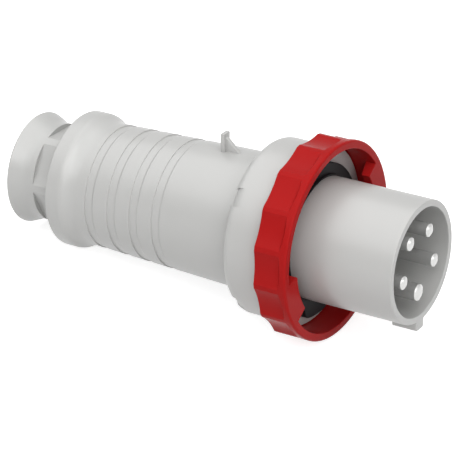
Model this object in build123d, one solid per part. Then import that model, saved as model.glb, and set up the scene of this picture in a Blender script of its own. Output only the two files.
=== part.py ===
from build123d import *
import math
import os

# Industrial pin and sleeve plug, five poles, 63 A size. Millimetres.
# The plug's axis is X, with the mouth towards +X and the earth pin and the key downwards (-Z).
# The origin is on the axis at the front face of the gasket, where the plug meets its socket.
# Angles about the axis run from +Y towards +Z.

# Sleeve that shrouds the pins
mouth_x = 65.0
sleeve_r = 35.5
sleeve_wall = 3.85
rim_round = 0.7
key_width = 8.3
key_height = 5.8
key_length = 15.4
key_round = 1.6

# Gasket on the front flange
gasket_thickness = 4.0
gasket_bore_clearance = 0.2
gasket_width = 6.9
gasket_tab_reach = 4.8
gasket_tab_round = 6.0
gasket_tab_from = -111.0
gasket_tab_to = -74.0

# Front flange, its retaining collar and its spigot
collar_proud = 1.3
collar_thickness = 2.2
collar_lip = 2.4
spigot_length = 17.0
spigot_wall = 4.4
stop_angle = 8.0
stop_height = 0.8

# Locking ring
ring_wall = 4.8
ring_front_x = 11.0
ring_lip = 2.5
ring_bore_clearance = 0.5
ring_axial_clearance = 0.3
ring_radial_clearance = 0.3
ring_edge_round = 1.3
scallop_count = 16
scallop_phase = 88.45
scallop_depth = 1.9
ridge_width = 2.9
scallop_front_x = 7.9
scallop_ramp = 1.6
cam_height = 9.0
cam_depth = 7.0
cam_from = 6.4
cam_to = 37.0
cam_ramp = 2.0
ring_turn = 60.0

# Handle: bell, tapered grip, rear shoulder
bell_r = 51.1
bell_rear_x = -33.8
bell_round = 5.0
bell_wall = 3.5
grip_rear_r = 36.25
grip_rise = 3.55
grip_wall = 3.2
grip_rear_x = -139.9
shoulder_rise = 3.75
shoulder_rear_x = -159.2
shoulder_convex = 6.5
shoulder_concave = 14.0
shoulder_round = 0.9
groove_count = 4
groove_first_x = -134.0
groove_pitch = 15.4
groove_width = 5.6
groove_depth = 0.8
notch_angles = (39.25, 140.75, 219.25, 320.75)
notch_span = 12.5
notch_round = 7.5

# Lug on top of the grip
lug_rear_x = -63.2
lug_plate = 2.4
lug_width = 6.2
lug_top_z = 49.7
lug_round = 0.4
lug_web = 2.6
lug_web_length = 9.2
lug_web_drop = 2.3

# Cable gland
thread_bore_r = 24.9
thread_clearance = 0.3
thread_length = 14.7
gland_seat_x = -128.0
gland_seat_r = 20.0
gland_wall = 4.0
seal_length = 14.0
seal_bore_r = 16.0
thrust_thickness = 2.6
thrust_bore_r = 19.0
nut_gap = 2.8
nut_flat_depth = 2.3
nut_neck_r = 28.9
nut_hex_length = 13.2
nut_rear_x = -191.0
nut_flare = 4.3
nut_flare_slope = 0.43
nut_flare_blend = 20.0
nut_rim_round = 0.7
nut_bore_r = 18.5
nut_rim_wall = 3.9
nut_bore_length = 22.0

# Contact carrier and its rear plate
carrier_front_x = 7.0
carrier_clearance = 0.2
carrier_flange_lap = 0.5
carrier_flange = 4.0
housing_tube_length = 2.7
plate_thickness = 4.0
plate_r = 30.0
plate_notch_clearance = 0.5

# Pins
pin_circle_r = 18.54
pin_tip_x = 64.6
line_pin_r = 4.0
earth_pin_r = 5.0
pin_tip_round = 1.2
pin_shank_step = 0.6
pin_shank_proud = 0.5
pin_collar_r = 8.0
pin_collar = 3.0
terminal_r = 6.6
terminal_length = 28.0
wire_bore_r = 3.7
wire_bore_depth = 22.0
fit_gap = 0.1
pin_angles = {
    "pin_earth": -90.0,
    "pin_line_1": 198.0,
    "pin_line_2": 126.0,
    "pin_line_3": 54.0,
    "pin_neutral": -18.0,
}

# Clamp screws in the terminals
clamp_screw_r = 2.5
clamp_screw_proud = 2.8
clamp_screw_length = 5.6
clamp_screw_pitch = 9.0
clamp_screw_first = 7.0
slot_width = 0.9
slot_depth = 1.1

# Screws that hold carrier, sleeve housing and handle together
house_screw_wall = 6.15
house_screw_angles = (18.0, 162.0)
house_screw_r = 2.4
house_head_r = 4.2
house_head = 3.4
house_head_sink = 5.0
house_screw_length = 32.0
cross_length = 4.4
cross_width = 1.1
cross_depth = 2.0
screw_hole_clearance = 0.2
head_clearance = 0.3
thread_gap = 0.05
boss_r = 5.2
boss_length = 40.0
boss_floor = 6.0
boss_web = 3.0
insert_r = 3.6
insert_length = 12.0
plate_screw_r = 2.4
plate_head_r = 4.4
plate_head = 3.2
plate_screw_depth = 12.0

# Seal between sleeve housing and handle
seal_ring_r = 1.05
seal_groove_width = 3.0
seal_groove_from_flange = 7.0

# Cord clamp inside the grip
clamp_x = -92.0
clamp_width = 12.0
clamp_cord_r = 14.0
clamp_thickness = 3.4
clamp_corner_r = 2.0
clamp_ear_y = 21.6
clamp_ear_r = 5.0
clamp_seat_z = -2.0
clamp_post_r = 4.6
clamp_screw_shank_r = 2.0
clamp_head_r = 3.6
clamp_head = 2.6
clamp_screw_depth = 12.0
cradle_thickness = 4.0

# Sizes that follow from the ones above
sleeve_bore_r = sleeve_r - sleeve_wall
gasket_bore_r = sleeve_r + gasket_bore_clearance
gasket_r = gasket_bore_r + gasket_width
gasket_tab_r = gasket_r + gasket_tab_reach
collar_r = bell_r + collar_proud
ring_seat_r = collar_r - collar_lip
flange_x = -gasket_thickness
collar_rear_x = flange_x - collar_thickness
ring_rear_x = collar_rear_x - ring_axial_clearance - ring_lip
bell_front_x = ring_rear_x - ring_axial_clearance
bell_bore_r = bell_r - bell_wall
spigot_r = bell_bore_r - ring_radial_clearance
grip_front_r = grip_rear_r + grip_rise
grip_taper = grip_rise / (bell_rear_x - grip_rear_x)
shoulder_r = grip_rear_r + shoulder_rise
carrier_seat_x = bell_front_x - housing_tube_length
carrier_rear_x = carrier_seat_x - carrier_flange
plate_rear_x = carrier_rear_x - plate_thickness
terminal_rear_x = plate_rear_x - terminal_length
carrier_flange_r = sleeve_r + carrier_flange_lap
house_screw_circle_r = sleeve_bore_r - house_screw_wall
nut_rim_r = nut_neck_r + nut_flare
nut_mouth_r = nut_rim_r - nut_rim_wall
nut_apothem = nut_neck_r - nut_flat_depth
nut_front_x = shoulder_rear_x - nut_gap
nut_hex_rear_x = nut_front_x - nut_hex_length
nut_nose_x = nut_front_x + thread_length
ring_bore_r = collar_r + ring_bore_clearance
ring_r = ring_bore_r + ring_wall
cam_inner_r = ring_bore_r - cam_height
ring_lip_r = ring_seat_r + ring_radial_clearance


def grip_radius(x):
    """Outer radius of the tapered grip at x."""
    return grip_rear_r + grip_taper * (x - grip_rear_x)


def turned(*points):
    """Solid of revolution about X of a closed outline of (x, radius) points."""
    return revolve(make_face(Polyline(*points, close=True)), Axis.X)


def tube(x0, x1, inner_r, outer_r):
    """Plain ring between two positions along the axis."""
    return turned((x0, inner_r), (x1, inner_r), (x1, outer_r), (x0, outer_r))


def rod(r, x0, x1, y=0.0, z=0.0):
    """Round bar parallel to the axis."""
    return Pos((x0 + x1) / 2, y, z) * Rot(0, 90, 0) * Cylinder(r, abs(x1 - x0))


def block(x0, x1, y0, y1, z0, z1):
    """Box between two corners."""
    return Pos((x0 + x1) / 2, (y0 + y1) / 2, (z0 + z1) / 2) * Box(x1 - x0, y1 - y0, z1 - z0)


def sector(inner_r, outer_r, x0, x1, a0, a1):
    """Part of a ring from angle a0 to angle a1 about the axis."""
    corners = ((x0, inner_r), (x1, inner_r), (x1, outer_r), (x0, outer_r))
    return Rot(a0, 0, 0) * revolve(make_face(Polyline(*corners, close=True)), Axis.X, a1 - a0)


def around(angle, radius):
    """Y and Z of a point at an angle and radius about the axis."""
    return radius * math.cos(math.radians(angle)), radius * math.sin(math.radians(angle))


def circles(part, x, r):
    """Circular edges of a part at one position and radius on the main axis."""
    return [
        edge
        for edge in part.edges().filter_by(GeomType.CIRCLE)
        if abs(edge.radius - r) < 0.01
        and abs(edge.arc_center.X - x) < 0.01
        and math.hypot(edge.arc_center.Y, edge.arc_center.Z) < 0.01
    ]


def sleeve_housing():
    """Sleeve, key, front flange with the ring's seat, and the spigot that enters the handle."""
    spigot_rear_x = bell_front_x - spigot_length
    body = turned(
        (mouth_x, sleeve_bore_r),
        (mouth_x, sleeve_r),
        (flange_x, sleeve_r),
        (flange_x, collar_r),
        (collar_rear_x, collar_r),
        (collar_rear_x, ring_seat_r),
        (bell_front_x, ring_seat_r),
        (bell_front_x, spigot_r),
        (spigot_rear_x, spigot_r),
        (spigot_rear_x, spigot_r - spigot_wall),
        (bell_front_x, spigot_r - spigot_wall),
        (bell_front_x, sleeve_r),
        (carrier_seat_x, sleeve_r),
        (carrier_seat_x, sleeve_bore_r),
    )
    body = fillet(circles(body, mouth_x, sleeve_r), rim_round)
    body = fillet(circles(body, flange_x, collar_r), 0.4)
    key_bottom_z = -sleeve_r - key_height
    key = block(mouth_x - key_length, mouth_x, -key_width / 2, key_width / 2, key_bottom_z, -sleeve_r + 1.0)
    key = fillet(key.edges().filter_by(Axis.X).sort_by(Axis.Z)[:2], key_round)
    body += key
    for turn in (0.0, 180.0):
        start = stop_from() + turn
        stop_r = ring_seat_r + stop_height
        body += sector(ring_seat_r - 1.0, stop_r, bell_front_x, collar_rear_x, start, start + stop_angle)
    groove_x = bell_front_x - seal_groove_from_flange
    body -= tube(groove_x - seal_groove_width, groove_x, spigot_r - 2 * seal_ring_r, spigot_r + 1.0)
    return body


def stop_from():
    """Angle at which the first turning stop of the sleeve housing begins."""
    return 100.0


def locking_ring():
    """Bayonet ring with scalloped grip, two inner cams and a lip that runs behind the collar."""
    ring = tube(ring_rear_x, ring_front_x, ring_bore_r, ring_r)
    ring += tube(ring_rear_x, ring_rear_x + ring_lip, ring_lip_r, ring_bore_r + 0.5)
    ring = fillet(circles(ring, ring_front_x, ring_r), ring_edge_round)
    ring = fillet(circles(ring, ring_front_x, ring_bore_r), 0.5)
    pitch = 360.0 / scallop_count
    half_angle = math.radians(pitch / 2) - ridge_width / 2 / ring_r
    half_chord = ring_r * math.sin(half_angle)
    sagitta = scallop_depth - ring_r * (1 - math.cos(half_angle))
    cutter_r = (half_chord**2 + sagitta**2) / (2 * sagitta)
    axis_r = ring_r - scallop_depth + cutter_r
    ramp_start = scallop_front_x - scallop_ramp
    for i in range(scallop_count):
        y, z = around(scallop_phase + i * pitch, axis_r)
        cutter = rod(cutter_r, ring_rear_x - 1.0, ramp_start, y, z)
        nose = Pos((ramp_start + scallop_front_x) / 2, y, z) * Rot(0, 90, 0)
        cutter += nose * Cone(cutter_r, cutter_r - scallop_depth, scallop_ramp)
        ring -= cutter
    for turn in (0.0, 180.0):
        ring += cam(turn)
        reach = ring_turn + stop_angle + 1.0
        start = stop_from() + turn + 0.5 + stop_angle - reach
        relief_r = ring_lip_r + stop_height
        relief_front_x = ring_rear_x + ring_lip + 0.1
        ring -= sector(ring_lip_r - 1.0, relief_r, ring_rear_x - 1.0, relief_front_x, start, start + reach)
    return ring


def cam(turn):
    """Inner bayonet cam whose rear face is a ramp that draws the plug in."""
    body = sector(
        cam_inner_r, ring_bore_r + 0.5, ring_front_x - cam_depth, ring_front_x, cam_from + turn, cam_to + turn
    )
    long_edges = body.edges().filter_by(Axis.X)
    body = fillet(long_edges.sort_by(lambda e: math.hypot(e.center().Y, e.center().Z))[:2], 0.6)
    middle = (cam_from + cam_to) / 2 + turn
    half_span = ring_r * math.radians(cam_to - cam_from) / 2
    tilt = math.degrees(math.atan(cam_ramp / 2 / half_span))
    wedge = Pos(-cam_depth, ring_bore_r, 0) * Box(2 * cam_depth, 3 * cam_height, 2 * ring_r)
    wedge = Rot(0, tilt, 0) * wedge
    wedge = Pos(ring_front_x - cam_depth + cam_ramp / 2, 0, 0) * wedge
    return body - Rot(middle, 0, 0) * wedge


def face_gasket():
    """Flat rubber gasket round the foot of the sleeve, with a tab at the bottom."""
    body = tube(flange_x, 0.0, gasket_bore_r, gasket_r)
    tab = sector(gasket_r - gasket_width / 2, gasket_tab_r, flange_x, 0.0, gasket_tab_from, gasket_tab_to)
    corners = tab.edges().filter_by(Axis.X).sort_by(lambda e: -math.hypot(e.center().Y, e.center().Z))[:2]
    tab = fillet(corners, gasket_tab_round)
    body += tab
    return body


def housing_seal():
    """Round rubber ring in the groove of the spigot."""
    x = bell_front_x - seal_groove_from_flange - seal_groove_width / 2
    circle = Pos(x, spigot_r - seal_ring_r + ring_radial_clearance / 2, 0) * Circle(seal_ring_r)
    return revolve(circle, Axis.X)


def handle_outline():
    """Closed outline of the handle's wall: bell, grip, rear shoulder and gland socket."""
    inner_front_x = bell_rear_x + bell_wall
    bulkhead_x = gland_seat_x + gland_wall
    angle = math.acos(1 - (shoulder_r - grip_rear_r) / (shoulder_convex + shoulder_concave))
    meet_x = grip_rear_x - shoulder_concave * math.sin(angle)
    meet = (meet_x, grip_rear_r + shoulder_concave * (1 - math.cos(angle)))
    crest = (meet_x - shoulder_convex * math.sin(angle), shoulder_r)
    front = Polyline(
        (gland_seat_x, gland_seat_r),
        (bulkhead_x, gland_seat_r),
        (bulkhead_x, grip_radius(bulkhead_x) - grip_wall),
        (inner_front_x, grip_radius(inner_front_x) - grip_wall),
        (inner_front_x, bell_bore_r),
        (bell_front_x, bell_bore_r),
        (bell_front_x, bell_r),
        (bell_rear_x, bell_r),
        (bell_rear_x, grip_front_r),
        (grip_rear_x, grip_rear_r),
    )
    hollow_arc = TangentArc((grip_rear_x, grip_rear_r), meet, tangent=(-1, 0))
    crest_arc = TangentArc(crest, meet, tangent=(1, 0))
    rear = Polyline(
        crest,
        (shoulder_rear_x, shoulder_r),
        (shoulder_rear_x, thread_bore_r),
        (gland_seat_x, thread_bore_r),
        (gland_seat_x, gland_seat_r),
    )
    return make_face([*front.edges(), *hollow_arc.edges(), *crest_arc.edges(), *rear.edges()])


def handle_shell():
    """Rear housing in one moulding: bell, grip with grooves, lug, gland socket and screw bosses."""
    body = revolve(handle_outline(), Axis.X)
    body = fillet(circles(body, bell_rear_x, bell_r), bell_round)
    body = fillet(circles(body, shoulder_rear_x, shoulder_r), shoulder_round)
    for i in range(groove_count):
        x0 = groove_first_x + i * groove_pitch
        x1 = x0 + groove_width
        r0 = grip_radius(x0)
        r1 = grip_radius(x1)
        body -= turned((x0, r0 - groove_depth), (x1, r1 - groove_depth), (x1, r1 + 2.0), (x0, r0 + 2.0))
    for angle in notch_angles:
        body -= bell_notch(angle)
    body += lug()
    body += bosses()
    body += clamp_seat()
    return body


def bell_notch(angle):
    """Cutter for a shallow recess in the bell's rear rounding, which gives it a larger radius there."""
    start = (bell_rear_x + notch_round, bell_r)
    end = (bell_rear_x, bell_r - notch_round)
    arc = RadiusArc(end, start, notch_round)
    clear_x = bell_rear_x - 1.0
    rest = Polyline(start, (start[0], bell_r + 1.0), (clear_x, bell_r + 1.0), (clear_x, end[1]), end)
    cutter = revolve(make_face([*arc.edges(), *rest.edges()]), Axis.X, notch_span)
    return Rot(angle - notch_span / 2, 0, 0) * cutter


def lug():
    """T-shaped lug: a cross plate with a sloping web in front of it."""
    plate_front_x = lug_rear_x + lug_plate
    foot_z = grip_radius(lug_rear_x) - 1.5
    plate = block(lug_rear_x, plate_front_x, -lug_width / 2, lug_width / 2, foot_z, lug_top_z)
    plate = fillet(plate.edges().filter_by(Axis.X).sort_by(Axis.Z)[-2:], lug_round)
    toe_x = plate_front_x + lug_web_length
    side = make_face(
        Polyline(
            (plate_front_x - 0.5, foot_z),
            (plate_front_x - 0.5, lug_top_z - lug_web_drop),
            (plate_front_x, lug_top_z - lug_web_drop),
            (toe_x, grip_radius(toe_x)),
            (toe_x, foot_z),
            close=True,
        )
    )
    web = extrude(Plane.XZ * side, lug_web / 2, both=True)
    return plate + web


def bosses():
    """Two bosses for the housing screws, held to the grip's wall by webs."""
    body = None
    for angle in house_screw_angles:
        y, z = around(angle, house_screw_circle_r)
        rear_x = carrier_rear_x - boss_length
        web_front_x = bell_rear_x - 1.0
        wall_r = grip_radius(web_front_x) - grip_wall + 1.0
        boss = rod(boss_r, rear_x, carrier_rear_x, y, z)
        web = block(rear_x, web_front_x, house_screw_circle_r, wall_r, -boss_web / 2, boss_web / 2)
        boss += Rot(angle, 0, 0) * web
        boss -= rod(insert_r + thread_gap, carrier_rear_x - insert_length, carrier_rear_x + 1.0, y, z)
        boss -= rod(house_screw_r + screw_hole_clearance, rear_x + boss_floor, carrier_rear_x, y, z)
        body = boss if body is None else body + boss
    return body


def clamp_seat():
    """Two posts and a cradle rib that carry the cord under its clamp."""
    x0 = clamp_x - clamp_width / 2
    x1 = clamp_x + clamp_width / 2
    wall_r = grip_radius(x0) - grip_wall + 0.6
    inside = rod(wall_r, x0 - clamp_width, x1 + clamp_width)
    posts = block(x0, x1, -clamp_ear_y - clamp_post_r, -clamp_ear_y + clamp_post_r, -wall_r, clamp_seat_z)
    posts += block(x0, x1, clamp_ear_y - clamp_post_r, clamp_ear_y + clamp_post_r, -wall_r, clamp_seat_z)
    rib = block(
        clamp_x - cradle_thickness / 2,
        clamp_x + cradle_thickness / 2,
        -clamp_ear_y,
        clamp_ear_y,
        -wall_r,
        clamp_seat_z - 4.0,
    )
    body = (posts + rib) & inside
    body -= rod(clamp_cord_r, x0 - clamp_width, x1 + clamp_width)
    for side in (-1, 1):
        hole = Pos(clamp_x, side * clamp_ear_y, clamp_seat_z - clamp_screw_depth / 2 - 0.5)
        body -= hole * Cylinder(clamp_screw_shank_r + thread_gap, clamp_screw_depth + 1.0)
    return body


def cord_clamp():
    """Saddle that presses the cord down, with an ear on each side."""
    x0 = clamp_x - clamp_width / 2
    x1 = clamp_x + clamp_width / 2
    arch = rod(clamp_cord_r + clamp_thickness, x0, x1) - rod(clamp_cord_r, x0 - 1.0, x1 + 1.0)
    ear_end_y = clamp_ear_y + clamp_ear_r
    ears = block(x0, x1, -ear_end_y, ear_end_y, clamp_seat_z, clamp_seat_z + clamp_thickness)
    ears -= rod(clamp_cord_r, x0 - 1.0, x1 + 1.0)
    reach = clamp_cord_r + clamp_thickness
    above = block(x0, x1, -reach, reach, clamp_seat_z, reach)
    body = (arch & above) + ears
    body = fillet(ears_corner_edges(body), clamp_corner_r)
    for side in (-1, 1):
        hole = Pos(clamp_x, side * clamp_ear_y, clamp_seat_z)
        body -= hole * Cylinder(clamp_screw_shank_r + screw_hole_clearance, 3 * clamp_thickness)
    return body


def ears_corner_edges(body):
    """Upright edges at the outer ends of the clamp's ears."""
    return [e for e in body.edges().filter_by(Axis.Z) if abs(e.center().Y) > clamp_ear_y + clamp_ear_r - 0.01]


def cord_clamp_screw(side):
    """Pan head screw that pulls one ear of the clamp on to its post."""
    top_z = clamp_seat_z + clamp_thickness
    base = Pos(clamp_x, side * clamp_ear_y, 0)
    length = clamp_thickness + clamp_screw_depth - 1.0
    screw = base * Pos(0, 0, top_z - length / 2) * Cylinder(clamp_screw_shank_r, length)
    head = base * Pos(0, 0, top_z + clamp_head / 2) * Cylinder(clamp_head_r, clamp_head)
    head = fillet(head.edges().sort_by(Axis.Z)[-1:], 0.8)
    slot = base * Pos(0, 0, top_z + clamp_head) * Box(slot_width * 1.3, 2.2 * clamp_head_r, 2 * slot_depth)
    return screw + head - slot


def contact_carrier():
    """Insulating block that holds the pins and closes the foot of the sleeve."""
    body = turned(
        (carrier_front_x, 0.0),
        (carrier_front_x, sleeve_bore_r - carrier_clearance),
        (carrier_seat_x, sleeve_bore_r - carrier_clearance),
        (carrier_seat_x, carrier_flange_r),
        (carrier_rear_x, carrier_flange_r),
        (carrier_rear_x, 0.0),
    )
    for name, angle in pin_angles.items():
        y, z = around(angle, pin_circle_r)
        bore_r = pin_radius(name) + pin_shank_step + fit_gap
        body -= rod(bore_r, carrier_rear_x - 1.0, carrier_front_x + 1.0, y, z)
        body -= rod(pin_collar_r + fit_gap, carrier_rear_x - 1.0, carrier_rear_x + pin_collar, y, z)
    for angle in house_screw_angles:
        y, z = around(angle, house_screw_circle_r)
        head_seat_x = carrier_front_x - house_head_sink
        body -= rod(house_screw_r + screw_hole_clearance, carrier_rear_x - 1.0, carrier_front_x + 1.0, y, z)
        body -= rod(house_head_r + head_clearance, head_seat_x, carrier_front_x + 1.0, y, z)
    body -= rod(plate_screw_r + thread_gap, carrier_rear_x - 1.0, carrier_rear_x + plate_screw_depth)
    return body


def carrier_plate():
    """Rear plate that traps the pins' collars, notched round the handle's bosses."""
    body = tube(plate_rear_x, carrier_rear_x, plate_screw_r + screw_hole_clearance, plate_r)
    for angle in pin_angles.values():
        y, z = around(angle, pin_circle_r)
        body -= rod(terminal_r + fit_gap, plate_rear_x - 1.0, carrier_rear_x + 1.0, y, z)
    for angle in house_screw_angles:
        y, z = around(angle, house_screw_circle_r)
        body -= rod(boss_r + plate_notch_clearance, plate_rear_x - 1.0, carrier_rear_x + 1.0, y, z)
        half_slot = boss_web / 2 + plate_notch_clearance
        through = (plate_rear_x - 1.0, carrier_rear_x + 1.0)
        slot = block(*through, house_screw_circle_r, plate_r + 1.0, -half_slot, half_slot)
        body -= Rot(angle, 0, 0) * slot
    return body


def carrier_plate_screw():
    """Central screw that holds the plate to the carrier."""
    screw = rod(plate_screw_r, plate_rear_x, carrier_rear_x + plate_screw_depth - 1.0)
    head = rod(plate_head_r, plate_rear_x - plate_head, plate_rear_x)
    head = fillet(head.edges().sort_by(Axis.X)[:1], 0.9)
    slot = Pos(plate_rear_x - plate_head, 0, 0) * Box(2 * slot_depth, 2.2 * plate_head_r, slot_width * 1.3)
    return screw + head - slot


def pin_radius(name):
    """Working radius of a pin: the earth pin is the thick one."""
    return earth_pin_r if name == "pin_earth" else line_pin_r


def pin(name, angle):
    """Turned pin: domed tip, shaft, collar and a terminal with a wire bore and two tapped holes."""
    r = pin_radius(name)
    y, z = around(angle, pin_circle_r)
    body = rod(r, carrier_rear_x, pin_tip_x, y, z)
    body = fillet(body.edges().filter_by(GeomType.CIRCLE).sort_by(Axis.X)[-1:], pin_tip_round)
    body += rod(r + pin_shank_step, carrier_rear_x, carrier_front_x + pin_shank_proud, y, z)
    body += rod(pin_collar_r, carrier_rear_x, carrier_rear_x + pin_collar, y, z)
    terminal = rod(terminal_r, terminal_rear_x, carrier_rear_x, y, z)
    terminal = fillet(terminal.edges().filter_by(GeomType.CIRCLE).sort_by(Axis.X)[:1], 0.5)
    body += terminal
    body -= rod(wire_bore_r, terminal_rear_x - 1.0, terminal_rear_x + wire_bore_depth, y, z)
    for i in range(2):
        reach = terminal_r + clamp_screw_proud
        body -= clamp_screw_place(angle, i, reach / 2) * Cylinder(clamp_screw_r + thread_gap, reach)
    return body


def clamp_screw_place(angle, i, height):
    """Place on one tapped hole's line at a height over the pin, its local Z pointing outwards."""
    x = terminal_rear_x + clamp_screw_first + i * clamp_screw_pitch
    return Rot(angle, 0, 0) * Pos(x, pin_circle_r + height, 0) * Rot(-90, 0, 0)


def terminal_screws(angle):
    """Two slotted clamp screws of one terminal."""
    group = []
    for i in range(2):
        place = clamp_screw_place(angle, i, terminal_r + clamp_screw_proud - clamp_screw_length / 2)
        screw = place * Cylinder(clamp_screw_r, clamp_screw_length)
        top = clamp_screw_length / 2
        slot = place * Pos(0, 0, top) * Box(2.4 * clamp_screw_r, slot_width, 2 * slot_depth)
        group.append(screw - slot)
    return Compound(children=group)


def housing_screw(angle):
    """Cylinder head screw from the carrier's face into the handle's boss."""
    y, z = around(angle, house_screw_circle_r)
    seat_x = carrier_front_x - house_head_sink
    screw = rod(house_screw_r, seat_x - house_screw_length, seat_x, y, z)
    head = rod(house_head_r, seat_x, seat_x + house_head, y, z)
    head = fillet(head.edges().filter_by(GeomType.CIRCLE).sort_by(Axis.X)[-1:], 0.4)
    place = Pos(seat_x + house_head, y, z)
    cross = place * Box(2 * cross_depth, cross_length, cross_width)
    cross += place * Box(2 * cross_depth, cross_width, cross_length)
    return screw + head - cross


def boss_inserts():
    """Threaded brass inserts in the handle's two bosses."""
    group = []
    for angle in house_screw_angles:
        y, z = around(angle, house_screw_circle_r)
        insert_rear_x = carrier_rear_x - insert_length
        insert = rod(insert_r, insert_rear_x, carrier_rear_x, y, z)
        insert -= rod(house_screw_r + thread_gap, insert_rear_x - 1.0, carrier_rear_x + 1.0, y, z)
        group.append(insert)
    return Compound(children=group)


def gland_seal():
    """Rubber bush that is squeezed round the cord."""
    outer_r = thread_bore_r - thread_clearance
    rear_x = gland_seat_x - seal_length
    body = tube(rear_x, gland_seat_x, seal_bore_r, outer_r)
    body = chamfer(circles(body, rear_x, seal_bore_r), 1.5)
    return body


def thrust_ring():
    """Smooth ring between the turning nut and the rubber bush."""
    return tube(nut_nose_x, nut_nose_x + thrust_thickness, thrust_bore_r, thread_bore_r - thread_clearance)


def gland_nut():
    """Trumpet nut: threaded nose, hexagon with rounded corners and a flared rear mouth."""
    nose_r = thread_bore_r - thread_clearance
    cone_length = (nut_rim_r - nut_neck_r) / nut_flare_slope
    outline = Polyline(
        (nut_nose_x, nut_bore_r),
        (nut_nose_x, nose_r),
        (nut_front_x, nose_r),
        (nut_front_x, nut_neck_r),
        (nut_rear_x + cone_length, nut_neck_r),
        (nut_rear_x, nut_rim_r),
        (nut_rear_x, nut_mouth_r),
    )
    bore_end = (nut_rear_x + nut_bore_length, nut_bore_r)
    mouth_arc = TangentArc(bore_end, (nut_rear_x, nut_mouth_r), tangent=(-1, 0))
    bore = Line(bore_end, (nut_nose_x, nut_bore_r))
    body = revolve(make_face([*outline.edges(), *mouth_arc.edges(), *bore.edges()]), Axis.X)
    body = fillet(circles(body, nut_rear_x + cone_length, nut_neck_r), nut_flare_blend)
    body = fillet(circles(body, nut_rear_x, nut_rim_r), nut_rim_round)
    for i in range(6):
        flat = block(nut_hex_rear_x, nut_front_x + 0.5, nut_apothem, 2 * nut_neck_r, -nut_neck_r, nut_neck_r)
        body -= Rot(30.0 + 60.0 * i, 0, 0) * flat
    return body


def save(name, part):
    """Writes one node's solids to its own STEP file."""
    export_step(part, os.path.join("parts", name + ".step"))


os.makedirs("parts", exist_ok=True)
save("sleeve_housing", sleeve_housing())
save("locking_ring", locking_ring())
save("face_gasket", face_gasket())
save("housing_seal", housing_seal())
save("handle_shell", handle_shell())
save("contact_carrier", contact_carrier())
save("carrier_plate", carrier_plate())
save("carrier_plate_screw", carrier_plate_screw())
for pin_name, pin_angle in pin_angles.items():
    save(pin_name, pin(pin_name, pin_angle))
    save(pin_name.replace("pin_", "clamp_screws_"), terminal_screws(pin_angle))
save("housing_screw_right", housing_screw(house_screw_angles[0]))
save("housing_screw_left", housing_screw(house_screw_angles[1]))
save("boss_inserts", boss_inserts())
save("cord_clamp", cord_clamp())
save("cord_clamp_screw_left", cord_clamp_screw(-1))
save("cord_clamp_screw_right", cord_clamp_screw(1))
save("gland_seal", gland_seal())
save("gland_thrust_ring", thrust_ring())
save("gland_nut", gland_nut())
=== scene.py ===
import math

import bmesh
import bpy
import numpy as np
from mathutils import Matrix


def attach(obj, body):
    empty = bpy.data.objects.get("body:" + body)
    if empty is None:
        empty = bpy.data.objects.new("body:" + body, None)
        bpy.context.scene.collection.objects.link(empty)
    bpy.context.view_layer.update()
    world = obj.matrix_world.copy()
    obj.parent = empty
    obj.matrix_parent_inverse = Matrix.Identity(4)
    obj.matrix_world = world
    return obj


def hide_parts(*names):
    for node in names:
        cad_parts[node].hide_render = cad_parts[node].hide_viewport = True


# Industrial pin and sleeve plug. The CAD model is the frame, and the pieces here dress it.
# Lengths are millimetres in the dictionaries of pieces and stage, and metres in those of finishes, lamps
# and view, apart from its focal length. Angles round the axis are degrees from +Y towards +Z.
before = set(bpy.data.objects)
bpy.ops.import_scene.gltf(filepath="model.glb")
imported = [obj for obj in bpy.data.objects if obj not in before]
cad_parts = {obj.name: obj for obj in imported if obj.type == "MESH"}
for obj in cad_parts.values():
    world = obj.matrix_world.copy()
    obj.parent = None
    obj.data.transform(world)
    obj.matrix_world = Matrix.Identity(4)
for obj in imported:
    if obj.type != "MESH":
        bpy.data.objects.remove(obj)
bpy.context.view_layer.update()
mm = 0.001
weldDistance = 1e-7
flatEdge = 1e-8
# distance in mm of a supporting row from the edge that it keeps crisp
support = 0.3
# gap in mm between the last row of one outline and the first row of the next
seamGap = 0.02
print("frame loaded:", len(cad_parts), "nodes")


# Mesh helpers

def addObject(name, data):
    obj = bpy.data.objects.new(name, data)
    bpy.context.scene.collection.objects.link(obj)
    return obj


def addMesh(name, points, faces, bevel=0.0):
    # points in mm, faces as rows of vertex numbers; the winding is turned if the volume comes out negative,
    # and the edges that turn by more than 40 degrees get a bevel where one is asked for
    mesh = bpy.data.meshes.new(name)
    mesh.from_pydata((points * mm).tolist(), [], [tuple(face) for face in faces])
    work = bmesh.new()
    work.from_mesh(mesh)
    bmesh.ops.remove_doubles(work, verts=work.verts, dist=weldDistance)
    bmesh.ops.dissolve_degenerate(work, edges=work.edges, dist=flatEdge)
    if work.calc_volume(signed=True) < 0:
        bmesh.ops.reverse_faces(work, faces=work.faces)
    if bevel > 0:
        crisp = [e for e in work.edges if e.calc_face_angle(0) > math.radians(40)]
        bmesh.ops.bevel(work, geom=crisp, offset=bevel * mm, segments=3, profile=0.5, affect="EDGES")
    work.to_mesh(mesh)
    work.free()
    return addObject(name, mesh)


def gridFaces(rows, columns, closeRows, closeColumns):
    # every cell of a grid as one quad, wrapping round where the grid is closed
    i = np.arange(rows if closeRows else rows - 1)
    j = np.arange(columns if closeColumns else columns - 1)
    i, j = np.meshgrid(i, j, indexing="ij")
    iNext = (i + 1) % rows
    jNext = (j + 1) % columns
    corners = [i * columns + j, i * columns + jNext, iNext * columns + jNext, iNext * columns + j]
    return np.stack(corners, -1).reshape(-1, 4)


def smooth(obj, sharpAngle):
    # smooth shading, with the edges that turn by more than sharpAngle kept crisp
    mesh = obj.data
    mesh.polygons.foreach_set("use_smooth", np.ones(len(mesh.polygons), bool))
    mesh.set_sharp_from_angle(angle=math.radians(sharpAngle))
    return obj


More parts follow.
